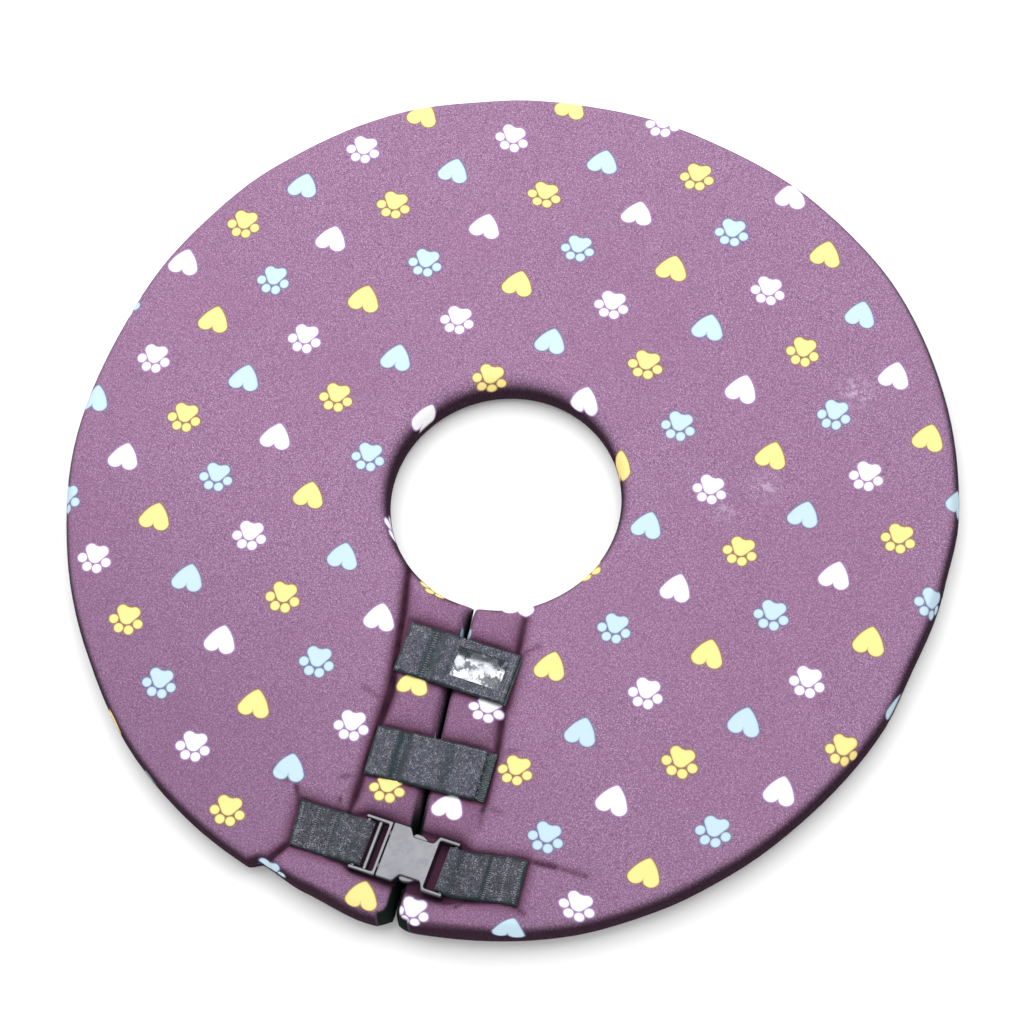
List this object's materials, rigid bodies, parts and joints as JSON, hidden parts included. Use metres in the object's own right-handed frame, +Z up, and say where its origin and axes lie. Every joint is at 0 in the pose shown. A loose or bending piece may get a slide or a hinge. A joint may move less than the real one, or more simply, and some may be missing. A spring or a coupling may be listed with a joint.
{
  "type": "soft recovery cone",
  "caption": "Flat round padded recovery collar for a pet, with a neck hole, a slit closed by hook-and-loop straps, a card window, and webbing with a side-release buckle.",
  "frame": {"origin": "centre of the neck hole, on the surface that the collar lies on", "axes": "+Z up out of the printed face, -Y along the slit, +X to the right of the slit seen from above with the slit towards the viewer"},
  "size_m": [0.4756, 0.4761, 0.0288],
  "materials": {
    "cloth": "plum woven polyester with a printed pattern of hearts and paws",
    "tape": "charcoal hook-and-loop tape",
    "webbing": "charcoal ribbed webbing",
    "buckle_plastic": "satin grey-black moulded plastic",
    "card": "blank white card",
    "vinyl": "clear vinyl sheet"
  },
  "bodies": {
    "root": {"padded_disc": "cloth", "id_strap": "tape", "id_patch": "tape", "id_card": "card", "id_window": "vinyl", "middle_strap": "tape", "middle_patch": "tape", "webbing_left": "webbing", "webbing_right": "webbing", "buckle_male": "buckle_plastic", "buckle_female": "buckle_plastic"}
  },
  "joints": []
}
